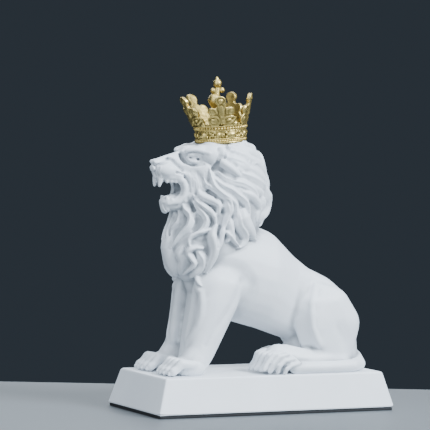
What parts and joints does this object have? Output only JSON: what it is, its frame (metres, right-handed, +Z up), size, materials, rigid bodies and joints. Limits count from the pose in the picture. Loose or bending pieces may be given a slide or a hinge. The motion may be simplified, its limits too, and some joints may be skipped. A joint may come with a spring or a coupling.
{
  "type": "crowned lion sculpture",
  "caption": "Seated crowned lion with an open mouth and a full wavy mane, on a tapered rectangular plinth; a white decorative casting with a gold crown.",
  "frame": {"origin": "middle of the base pad's underside, on the surface that the sculpture stands on", "axes": "+Z up; the lion looks along -X and its left flank faces -Y"},
  "size_m": [0.2014, 0.0944, 0.2566],
  "materials": {
    "white_resin": "matte, cool white",
    "gold_paint": "antique gold paint, rubbed darker in the recesses",
    "black_pad": "matte black"
  },
  "bodies": {
    "root": {"lion_with_plinth": "white_resin", "crown": "gold_paint", "base_pad": "black_pad"}
  },
  "joints": []
}
